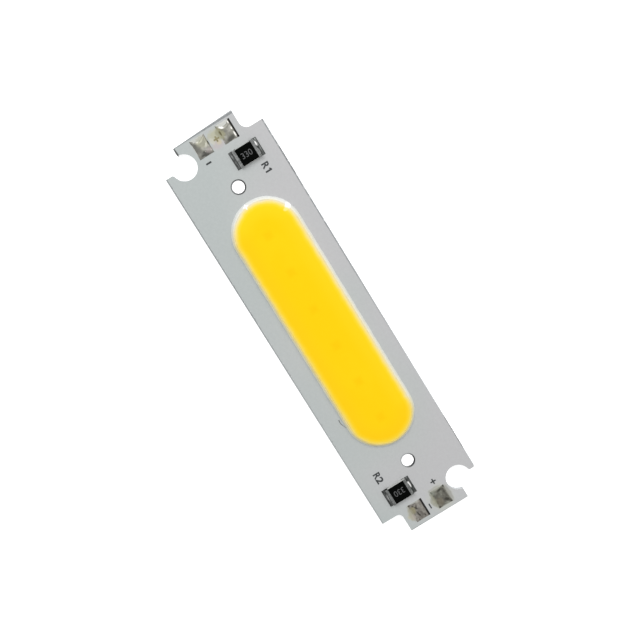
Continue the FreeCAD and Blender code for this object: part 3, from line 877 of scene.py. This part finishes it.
def frozen_solder(name, tones, roughness, mottle=0.25, thin="#c2c3be", painted_dark_rim_pad=None, stains=()):
    """Solder by its hollow, middle and bright tones, its mottle, and the colour of its thinnest film."""
    hollow, middle, bright = tones
    finish, tree, shader = new_finish(name, middle, roughness, 0.85)
    layers = [add(tree, "ShaderNodeAttribute", attribute_name=f"solder_{kind}") for kind in ("tone", "film")]
    tone, film = (Signal(layer.outputs["Fac"]) for layer in layers)
    grain = cloud(tree, 0.35) - 0.5
    # The tones hold grey oxide in the hollows, and the painted highlights and painted shade of each lump
    colour = ramp(tone + grain * mottle, (0.1, hollow), (0.5, middle), (0.9, bright))
    bare = rise(film + grain * 0.7, 0.5, 0.85)
    colour = stained(tree, blended(bare, colour, thin), stains)
    # Painted shade: a black ragged line along the upper edge of the pad
    if painted_dark_rim_pad is not None:
        x, y = place_of(tree, (0, pad_boxes[painted_dark_rim_pad][1].y))
        painted_dark_rim = rise(y + cloud(tree, 0.35) * 0.2, -0.22, -0.12)
        colour = blended(painted_dark_rim, colour, "#222120")
    coloured(shader, colour)
    embossed(shader, cloud(tree, 0.3), 0.005)
    return finish


# Each facet of a pad is a flat of the frozen solder with a painted highlight, lighter than the rest, or
# painted
# shade, darker, by what it faces: its middle and half sizes along and across in shares of the pad's half
# size, its turn in degrees, and its tone from 0 to 1. The hollows say how far the left, right, lower and
# upper sides are drawn in.
pads = [
    {
        "fullness": 0.7, "folds": 0.16,
        "hollows": (0.42, 0.06, 0.1, 0.1),
        "rim_shade": 0.2, "seed": 3.1,
        "tones": ("#575752", "#8b8a82", "#e2e1dc"),
        "thin": "#bdbeb9", "mottle": 0.25, "roughness": 0.52, "painted_dark_rim": True,
        "facets": (
            (-0.17, 0.36, 0.5, 0.22, 0, 0.56), (-0.46, 0.3, 0.34, 0.12, -75, 0.3),
            (-0.58, 0.22, 0.24, 0.2, -30, 0.45), (-0.09, -0.28, 0.45, 0.35, 0, 0.38),
            (0.6, -0.8, 0.35, 0.15, 0, 0.42), (0.74, -0.02, 0.62, 0.24, 100, 0.0),
            (-0.62, -0.4, 0.3, 0.13, 60, 1.0), (-0.74, 0.66, 0.2, 0.07, 0, 0.9),
            (-0.07, 0.66, 0.14, 0.09, 0, 0.95), (0.57, 0.66, 0.3, 0.1, 0, 1.0),
            (-0.85, -0.92, 0.15, 0.08, 0, 0.2),
        ),
    },
    {
        "fullness": 0.7, "folds": 0.16,
        "hollows": (0.42, 0.05, 0.12, 0.04),
        "rim_shade": 0.2, "seed": 8.6,
        "tones": ("#51514d", "#888780", "#e0dfda"),
        "thin": "#b9bab5", "mottle": 0.25, "roughness": 0.48, "painted_dark_rim": False,
        "facets": (
            (-0.4, 0.4, 0.45, 0.42, 0, 0.5), (0.1, -0.4, 0.35, 0.25, 0, 0.3),
            (-0.09, -0.7, 0.6, 0.26, 0, 0.27), (0.5, 0.4, 0.55, 0.17, 55, 0.62),
            (0.8, -0.1, 0.68, 0.2, 90, 0.0), (0.55, -0.05, 0.3, 0.12, 90, 0.12),
            (0.9, -0.42, 0.25, 0.05, 90, 0.45), (-0.64, -0.16, 0.24, 0.12, 90, 1.0),
            (-0.76, -0.5, 0.2, 0.09, 90, 0.75), (-0.93, 0.02, 0.24, 0.06, 80, 0.1),
            (-0.03, 0.62, 0.2, 0.07, -38, 1.0), (0.55, 0.1, 0.08, 0.05, 60, 0.7),
        ),
    },
    {
        "fullness": 0.3, "folds": 0.18,
        "hollows": (0.16, 0.05, 0.1, 0.0),
        "rim_shade": 0.05, "seed": 14.2,
        "tones": ("#45423d", "#7b7771", "#a5a29b"),
        "thin": "#a5a6a1", "mottle": 0.6, "roughness": 0.45, "painted_dark_rim": True,
        "facets": (
            (0.05, 0.38, 0.6, 0.25, 0, 0.62), (0.62, -0.68, 0.32, 0.25, 0, 0.6),
            (0.43, 0.15, 0.28, 0.16, 15, 0.3), (0.34, -0.27, 0.42, 0.1, 16, 0.08),
            (-0.36, -0.2, 0.26, 0.09, 42, 0.0), (-0.42, -0.12, 0.2, 0.08, -35, 0.05),
            (-0.67, -0.48, 0.1, 0.12, 0, 0.0), (-0.9, -0.86, 0.1, 0.1, 0, 0.0),
            (0.94, -0.52, 0.07, 0.12, 90, 0.0), (0.72, 0.42, 0.09, 0.14, 90, 0.12),
            (0.07, -0.9, 0.22, 0.09, 0, 0.0), (-0.86, 0.35, 0.12, 0.25, 0, 0.85),
        ),
    },
    {
        "fullness": 0.3, "folds": 0.15,
        "hollows": (0.16, 0.12, 0.12, 0.16),
        "rim_shade": 0.0, "seed": 21.7,
        "tones": ("#3f3e38", "#6a6961", "#9b9c92"),
        "thin": "#9c9e95", "mottle": 0.7, "roughness": 0.45, "painted_dark_rim": False,
        "facets": (
            (0.02, -0.15, 0.6, 0.5, 0, 0.5), (-0.4, 0.62, 0.38, 0.11, 0, 0.22),
            (0.35, -0.82, 0.25, 0.12, 0, 0.3), (0.82, 0.3, 0.13, 0.36, 0, 0.78),
            (-0.92, 0.0, 0.12, 0.6, 0, 0.85), (0.54, 0.5, 0.42, 0.2, 66, 0.08),
            (0.78, 0.86, 0.2, 0.12, 20, 0.15), (-0.7, 0.16, 0.34, 0.12, -76, 0.05),
            (-0.62, 0.5, 0.2, 0.15, 0, 0.25), (-0.47, 0.27, 0.12, 0.1, 0, 0.7),
            (-0.91, 0.88, 0.14, 0.12, 0, 0.0), (0.92, 0.88, 0.1, 0.11, 0, 0.0),
            (-0.86, -0.9, 0.14, 0.11, 0, 0.1), (0.88, -0.85, 0.1, 0.13, 0, 0.1),
        ),
    },
]
for number, pad in enumerate(pads):
    lump = pad_lump(f"tinned_pad_{number + 1}", number, pad)
    near = [stain for stain in flux_stains if stain[0].x * pad_middle[number].x > 0]
    painted_dark_rim_pad = number if pad["painted_dark_rim"] else None
    kind = pad["tones"], pad["roughness"], pad["mottle"], pad["thin"]
    solder = frozen_solder(f"tinned_pad_solder_{number + 1}", *kind, painted_dark_rim_pad, near)
    lump.data.materials.append(solder)
    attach(lump, "root")
    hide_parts(f"wire_pad_solder_{number + 1}")
print(len(pads), "tinned pads")

# %% [markdown]
# A chip resistor is a ceramic block with a printed film under black glaze, and a plated cap folded round each
# end. Its solids are right but their edges are sharp, and every real edge catches a line of light. So a copy
# of each solid is merged, its loose triangles are joined into flat faces again, and its edges are bevelled.

# %% Resistor bodies and caps


def softened(node, name, width, finish):
    """A copy of a solid with its flat faces restored and its edges rounded by a width in millimetres."""
    shape = bmesh.new()
    shape.from_mesh(nodes[node].data)
    bmesh.ops.remove_doubles(shape, verts=shape.verts, dist=0.0005 * MM)
    bmesh.ops.dissolve_limit(shape, angle_limit=math.radians(1), verts=shape.verts, edges=shape.edges)
    sharp = [edge for edge in shape.edges if edge.calc_face_angle(0.0) > math.radians(30)]
    rounding = {"offset": width * MM, "segments": 2, "profile": 0.5, "affect": "EDGES", "clamp_overlap": True}
    bmesh.ops.bevel(shape, geom=sharp, **rounding)
    for face in shape.faces:
        face.smooth = False
    return as_piece(shape, name, finish)


def black_glaze():
    finish, tree, shader = new_finish("black_resistor_glaze", "#050605", 0.3, specular=0.02)
    speck = cloud(tree, 0.15, 3.0)
    coloured(shader, ramp(speck, (0.4, "#030403"), (0.75, "#0a0b0a")))
    embossed(shader, cloud(tree, 0.5), 0.004)
    return finish


alumina = grained("fired_alumina", "#b3b4b1", "#c0c1be", 0.55, 0.0, 0.1, 0.004)
tin_plate = {
    "r1": grained("matte_tin_plate", "#6a6c6b", "#8b8d8c", 0.36, 1.0, 0.25, 0.004),
    "r2": grained("dull_tin_plate", "#606261", "#808281", 0.4, 1.0, 0.25, 0.004),
}
resistor_finishes = {
    "ceramic_body": (alumina, 0.02, "alumina"),
    "overcoat": (black_glaze(), 0.02, "black_glaze"),
    "end_cap_outer": (None, 0.03, "tin_plate"),
    "end_cap_inner": (None, 0.03, "tin_plate"),
}
for resistor in ("r1", "r2"):
    for part, (finish, width, slot) in resistor_finishes.items():
        finish = finish or tin_plate[resistor]
        piece = softened(f"{resistor}_{part}", f"{resistor}_soft_{part}", width, finish)
        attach(piece, "root")
        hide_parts(f"{resistor}_{part}")
print("resistor pieces", len(resistor_finishes) * 2)

# %% [markdown]
# The solder at each end of a resistor wets the pad and climbs the cap in a hollow curve. It is a height
# again: a thin film under the cap, then from the cap's face a curve that falls steeply and runs out to the
# toe, full in the middle and drawn in at both sides.

# %% Resistor solder
cap_thickness = 0.04
film_thickness = 0.03
fillet_grid = (52, 44)
shaded_foot = 0.12
toe_start = 0.6


def fillet_lump(name, node, outward, seed, streaks):
    """The fillet of one cap. outward is +1 if it faces the +Y side and -1 otherwise.

    A streak is a painted highlight on a flat that mirrors the light: its middle and half length in shares
    of the fillet's half width, its place and half depth from the cap at 0 to the toe at 1, and its tone.
    """
    low, high = solid_box(node)
    inner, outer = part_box(node[:2] + "_ceramic_body")
    cap_face = (outer.y if outward > 0 else inner.y) / MM + outward * cap_thickness
    toe_y = high.y if outward > 0 else low.y
    climb = high.z - copper_top

    def share_of(v):
        """How far a row lies from the cap's face, at 0, to the toe, at 1."""
        y = low.y + (high.y - low.y) * (v + 1) / 2
        return (y - cap_face) * outward / abs(toe_y - cap_face)

    def height_of(u, v):
        share = share_of(v)
        if share < 0:
            return film_thickness
        curve = (1 - min(1.0, share)) ** 2.0
        side = max(0.0, 1 - abs(u) ** 6)
        wave = 0.85 + 0.3 * noise.noise(Vector((u * 1.6, v, seed)))
        return film_thickness + (climb - film_thickness) * min(1.0, curve * side * wave)

    def tone_of(u, v):
        share = share_of(v)
        fold = noise.noise(Vector((u * 2.5, share * 2.0, seed + 4)))
        # Painted shade at the foot by the cap and past the toe's start, and painted highlights from the
        # streaks
        foot = math.exp(-((share / shaded_foot) ** 2))
        tone = 0.2 + 0.3 * fold - 0.3 * foot - 0.2 * max(0.0, share - toe_start)
        for middle, half, place, depth, bright in streaks:
            reach = ((u - middle) / half) ** 2 + ((share - place) / depth) ** 2
            tone += (bright - tone) * math.exp(-(reach**2))
        return within(tone)

    return field_lump(name, low, high, height_of, *fillet_grid, tone_of)


fillet_solder = {
    "r1": frozen_solder("reflowed_solder", ("#3e403f", "#727473", "#f4f4f2"), 0.3),
    "r2": frozen_solder("dull_reflowed_solder", ("#323433", "#666867", "#eeeeec"), 0.34),
}
mirrors = {
    "r1_solder_outer": (
        (-0.42, 0.32, 0.22, 0.24, 1.0),
        (0.4, 0.36, 0.02, 0.1, 0.75),
        (-0.85, 0.14, 0.05, 0.1, 0.7),
    ),
    "r1_solder_inner": (
        (-0.45, 0.32, 0.55, 0.24, 0.55),
        (0.45, 0.42, 0.36, 0.1, 0.55),
        (0.0, 0.9, 0.2, 0.06, 0.3),
    ),
    "r2_solder_outer": ((0.0, 0.42, 0.32, 0.24, 0.64), (-0.3, 0.2, 0.2, 0.12, 0.55)),
    "r2_solder_inner": ((-0.05, 0.38, 0.28, 0.22, 0.95), (-0.35, 0.16, 0.15, 0.26, 1.0)),
}
for resistor, outer in (("r1", 1), ("r2", -1)):
    for side, outward in (("outer", outer), ("inner", -outer)):
        node = f"{resistor}_solder_{side}"
        seed = 2.0 + 3 * outward + outer
        fillet = fillet_lump(f"{resistor}_fillet_{side}", node, outward, seed, mirrors[node])
        fillet.data.materials.append(fillet_solder[resistor])
        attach(fillet, "root")
        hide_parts(node)
print("four solder fillets")

# %% [markdown]
# The print on the board names the two resistors and marks plus and minus, and each resistor carries its
# value, 330 for 33 ohm. Print is a film of ink that lies on the surface, so each letter is a text turned into
# a thin mesh and fitted to its measured size. The figure 1 and the minus bars are plain outlines with rounded
# corners.

# %% Print
ink_thickness = 0.008


def printed(name, text, middle, size, turn, foot, finish, boldness=0.0):
    """Thin lettering, size wide and high in its own reading direction, turned about Z by degrees.

    boldness thickens the strokes, in shares of the type's own size.
    """
    words = bpy.data.curves.new(name, "FONT")
    words.body = text
    words.extrude = 0.5
    words.offset = boldness
    words.resolution_u = 12
    writer = into_scene(name, words)
    mesh = bpy.data.meshes.new_from_object(writer.evaluated_get(bpy.context.evaluated_depsgraph_get()))
    bpy.data.objects.remove(writer)
    low, high = extent(mesh)
    span = high - low
    fit = (size[0] / span.x, size[1] / span.y, ink_thickness / span.z)
    mesh.transform(Matrix.Translation(-(low + high) / 2))
    mesh.transform(Matrix.Diagonal((*(f * MM for f in fit), 1.0)))
    mesh.transform(Matrix.Rotation(math.radians(turn), 4, "Z"))
    mesh.transform(Matrix.Translation(Vector((*middle, foot + ink_thickness / 2)) * MM))
    mesh.materials.clear()
    mesh.materials.append(finish)
    shape = bmesh.new()
    shape.from_mesh(mesh)
    bmesh.ops.remove_doubles(shape, verts=shape.verts, dist=0.0001 * MM)
    shape.to_mesh(mesh)
    shape.free()
    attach(into_scene(name, mesh), "root")


def inked(name, middle, outline, foot, finish, corner):
    """A flat mark of ink inside an outline in millimetres about its middle, with its corners rounded."""
    stroke = bmesh.new()
    under = [stroke.verts.new(Vector((middle[0] + x, middle[1] + y, foot)) * MM) for x, y in outline]
    raised = bmesh.ops.extrude_face_region(stroke, geom=[stroke.faces.new(under)])["geom"]
    towards_dam = [v for v in raised if isinstance(v, bmesh.types.BMVert)]
    bmesh.ops.translate(stroke, verts=towards_dam, vec=Vector((0, 0, ink_thickness * MM)))
    upright = [e for e in stroke.edges if abs(e.verts[0].co.z - e.verts[1].co.z) > ink_thickness * MM / 2]
    bmesh.ops.bevel(stroke, geom=upright, offset=corner * MM, segments=3, profile=0.5, affect="EDGES")
    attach(as_piece(stroke, name, finish), "root")


board_ink = grained("dark_epoxy_ink", "#202324", "#2e3234", 0.6, 0.0, 0.15, 0.003)
browned_ink = grained("flux_covered_ink", "#766e4c", "#958e6c", 0.5, 0.0, 0.2, 0.003)
value_ink = grained("grey_marking_ink", "#3d3e3e", "#545556", 0.5, 0.0, 0.12, 0.002)
overcoat_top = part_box("r1_overcoat")[1].z / MM
r1_face, r2_face = (sum(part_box(f"{resistor}_overcoat"), Vector()) / 2 / MM for resistor in ("r1", "r2"))
bold = 0.032
printed("print_r1_letter", "R", (-22.36, 4.635), (0.79, 0.98), 0, board_top, board_ink, bold)
one = ((0.2, 0.47), (0.02, 0.47), (-0.2, 0.32), (-0.2, 0.12), (-0.03, 0.2), (-0.03, -0.47), (0.2, -0.47))
inked("print_r1_figure", (-21.63, 4.64), one, board_top, board_ink, 0.03)
printed("print_r2_letter", "R", (21.435, -4.59), (0.78, 0.99), 0, board_top, board_ink, bold)
printed("print_r2_figure", "2", (22.19, -4.59), (0.81, 1.01), 0, board_top, board_ink, bold)
printed("value_r1", "330", (r1_face.x, r1_face.y - 0.01), (1.53, 0.81), 90, overcoat_top, value_ink)
printed("value_r2", "330", (r2_face.x - 0.07, r2_face.y - 0.02), (1.53, 0.82), -90, overcoat_top, value_ink)
printed("plus_r2_end", "+", (26.24, 1.52), (0.82, 0.8), 0, board_top, board_ink, 0.02)
printed("plus_r1_end", "+", (-28.58, 0.96), (0.8, 0.8), 0, board_top, browned_ink, 0.03)
upright_bar = ((0.12, 0.39), (-0.12, 0.39), (-0.12, -0.39), (0.12, -0.39))
level_bar = [(y, -0.75 * x) for x, y in upright_bar]
inked("minus_r1_end", (-26.45, -1.54), upright_bar, board_top, board_ink, 0.05)
inked("minus_r2_end", (29.05, -0.59), level_bar, board_top, board_ink, 0.05)
print("ten marks")

# %% [markdown]
# Two kinds of small things lie on the board: crumbs of lacquer that the scoring blade left along the edges,
# some of them dark, and one hair beside the dam. The crumbs repeat and the hair follows a curve, so
# Geometry Nodes make both.

# %% Crumbs along the scored edges, and a hair
lengthwise_scatter = 20.0
smallest_share = 0.2
scatter = 0.015
hair_lift = 0.03
hair_radius = 0.035


def crumb_group():
    """Lumps of random size, strewn loosely along a line parallel to X and closely across it."""
    sizes = ("From", "To", "Side", "Level", "Count", "Length", "Width", "Height", "Scatter", "Seed")
    group, size, give_out = group_with("scored_edge_crumbs", sizes)
    stride = add(group, "ShaderNodeCombineXYZ", {"X": (size["To"] - size["From"]) / size["Count"]})
    start = add(group, "ShaderNodeCombineXYZ", {"X": size["From"], "Y": size["Side"], "Z": size["Level"]})
    places = {"Count": size["Count"], "Start Location": start, "Offset": stride}
    line = add(group, "GeometryNodeMeshLine", places, mode="OFFSET", count_mode="TOTAL")
    back = size["Scatter"] * -1.0
    low = add(group, "ShaderNodeCombineXYZ", {"X": back * lengthwise_scatter, "Y": back})
    high = add(group, "ShaderNodeVectorMath", {0: low, "Scale": -1.0}, operation="SCALE")
    spread = {0: low, 1: high, 8: size["Seed"]}
    strewn = add(group, "FunctionNodeRandomValue", spread, data_type="FLOAT_VECTOR")
    moved = add(group, "GeometryNodeSetPosition", {"Geometry": line, "Offset": strewn})
    ball = add(group, "GeometryNodeMeshIcoSphere", {"Radius": 0.5, "Subdivisions": 2})
    form = {"X": size["Length"], "Y": size["Width"], "Z": size["Height"]}
    scale = add(group, "ShaderNodeCombineXYZ", form)
    crumb = add(group, "GeometryNodeTransform", {"Geometry": ball, "Scale": scale})
    shares = {2: smallest_share, 3: 1.0, 8: size["Seed"]}
    share = add(group, "FunctionNodeRandomValue", shares, data_type="FLOAT")
    placed = {"Points": moved, "Instance": crumb, "Scale": share.outputs[1]}
    return give_out(add(group, "GeometryNodeInstanceOnPoints", placed))


def hair_group(places):
    """A thin round strand along a curve with a start, two handles and an end, in millimetres."""
    group, size, give_out = group_with("stray_hair", ("Radius",))
    names = ("Start", "Start Handle", "End Handle", "End")
    points = {name: tuple(Vector((*place, board_top + hair_lift)) * MM) for name, place in zip(names, places)}
    points["Resolution"] = 24
    curve = add(group, "GeometryNodeCurvePrimitiveBezierSegment", points, mode="POSITION")
    circle = {"Resolution": 8, "Radius": size["Radius"]}
    round_profile = add(group, "GeometryNodeCurvePrimitiveCircle", circle)
    path = {"Curve": curve, "Profile Curve": round_profile, "Fill Caps": True}
    return give_out(add(group, "GeometryNodeCurveToMesh", path))


pale_crumb = grained("lacquer_crumb", "#8b8e8e", "#d9dbdb", 0.6, 0.0, 0.3, 0.004)
dark_crumb = grained("dark_lacquer_crumb", "#232322", "#4b4a47", 0.6, 0.0, 0.2, 0.004)
crumb_runs = [
    ("crumbs_long_edge", -27.3, -12.0, mask_high.y + 0.01, 34, 0.5, 0.1, 0.04, 3, pale_crumb),
    ("crumbs_long_edge_far", -12.0, 24.0, mask_high.y + 0.02, 30, 0.35, 0.07, 0.03, 11, pale_crumb),
    ("crumbs_near_edge", -27.5, 19.0, mask_low.y + 0.17, 56, 0.4, 0.08, 0.03, 5, pale_crumb),
    ("crumbs_tab_corner", -30.05, -29.15, tab_low + 0.05, 12, 0.22, 0.12, 0.05, 7, dark_crumb),
]
crumbs = crumb_group()
for name, start, stop, side, count, length, width, height, seed, finish in crumb_runs:
    sizes = {"From": start, "To": stop, "Side": side, "Level": board_top, "Length": length, "Width": width}
    sizes = {size: value * MM for size, value in {**sizes, "Height": height, "Scatter": scatter}.items()}
    strewn = baked(crumbs, name, {**sizes, "Count": float(count), "Seed": float(seed), "Material": finish})
    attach(strewn, "root")
    print(name, len(strewn.data.polygons), "faces")
hair_path = ((11.95, -4.97), (12.45, -5.08), (12.75, -4.98), (13.38, -4.69))


def stray_fibre():
    """Darker at its start and paler along it towards its end by the dam."""
    finish, tree, shader = new_finish("stray_hair_fibre", "#6b6963", 0.6)
    towards_dam = rise(place_of(tree)[0], hair_path[0][0], hair_path[-1][0])
    coloured(shader, blended(towards_dam, "#4a4843", "#9b9b95"))
    return finish


hair = baked(hair_group(hair_path), "stray_hair", {"Radius": hair_radius * MM, "Material": stray_fibre()})
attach(hair, "root")
print("hair", len(hair.data.polygons), "faces")
